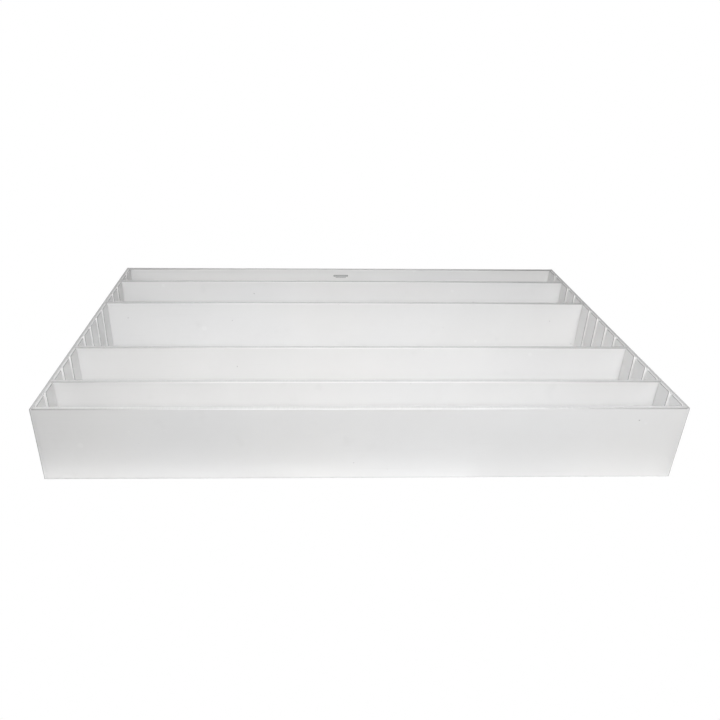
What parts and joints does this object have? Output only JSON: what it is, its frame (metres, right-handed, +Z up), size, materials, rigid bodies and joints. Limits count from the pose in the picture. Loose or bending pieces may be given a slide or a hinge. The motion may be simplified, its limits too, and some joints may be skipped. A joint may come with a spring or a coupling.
{
  "type": "drawer organizer insert",
  "caption": "Shallow open white plastic tray for a drawer, with slotted sides and loose full-width dividers that stand in chosen pairs of slots.",
  "frame": {"origin": "centre of the underside of the tray, on the surface that it stands on", "axes": "+X to the right along the long side, -Y to the front wall, +Z up"},
  "size_m": [0.604, 0.386, 0.0775],
  "materials": {
    "wall": "satin white plastic sheet, sawn edges lightly rounded",
    "strip": "satin white plastic sheet, rounded shoulders",
    "divider": "satin white plastic sheet, sawn edges lightly rounded",
    "base": "satin white plastic sheet"
  },
  "bodies": {
    "tray": {"base_panel": "base", "left_side_panel": "wall", "right_side_panel": "wall", "front_wall": "wall", "back_wall": "wall", "left_slot_strip_01": "strip", "left_slot_strip_02": "strip", "left_slot_strip_03": "strip", "left_slot_strip_04": "strip", "left_slot_strip_05": "strip", "left_slot_strip_06": "strip", "left_slot_strip_07": "strip", "left_slot_strip_08": "strip", "left_slot_strip_09": "strip", "left_slot_strip_10": "strip", "left_slot_strip_11": "strip", "left_slot_strip_12": "strip", "left_slot_strip_13": "strip", "left_slot_strip_14": "strip", "left_slot_strip_15": "strip", "right_slot_strip_01": "strip", "right_slot_strip_02": "strip", "right_slot_strip_03": "strip", "right_slot_strip_04": "strip", "right_slot_strip_05": "strip", "right_slot_strip_06": "strip", "right_slot_strip_07": "strip", "right_slot_strip_08": "strip", "right_slot_strip_09": "strip", "right_slot_strip_10": "strip", "right_slot_strip_11": "strip", "right_slot_strip_12": "strip", "right_slot_strip_13": "strip", "right_slot_strip_14": "strip", "right_slot_strip_15": "strip"},
    "divider_1": {"divider_1": "divider"},
    "divider_2": {"divider_2": "divider"},
    "divider_3": {"divider_3": "divider"},
    "divider_4": {"divider_4": "divider"}
  },
  "joints": [
    {"name": "divider_1_lift", "type": "slide", "parent": "tray", "child": "divider_1", "axis": [0, 0, 1], "range_m": [0, 0.085]},
    {"name": "divider_2_lift", "type": "slide", "parent": "tray", "child": "divider_2", "axis": [0, 0, 1], "range_m": [0, 0.085]},
    {"name": "divider_3_lift", "type": "slide", "parent": "tray", "child": "divider_3", "axis": [0, 0, 1], "range_m": [0, 0.085]},
    {"name": "divider_4_lift", "type": "slide", "parent": "tray", "child": "divider_4", "axis": [0, 0, 1], "range_m": [0, 0.085]}
  ]
}
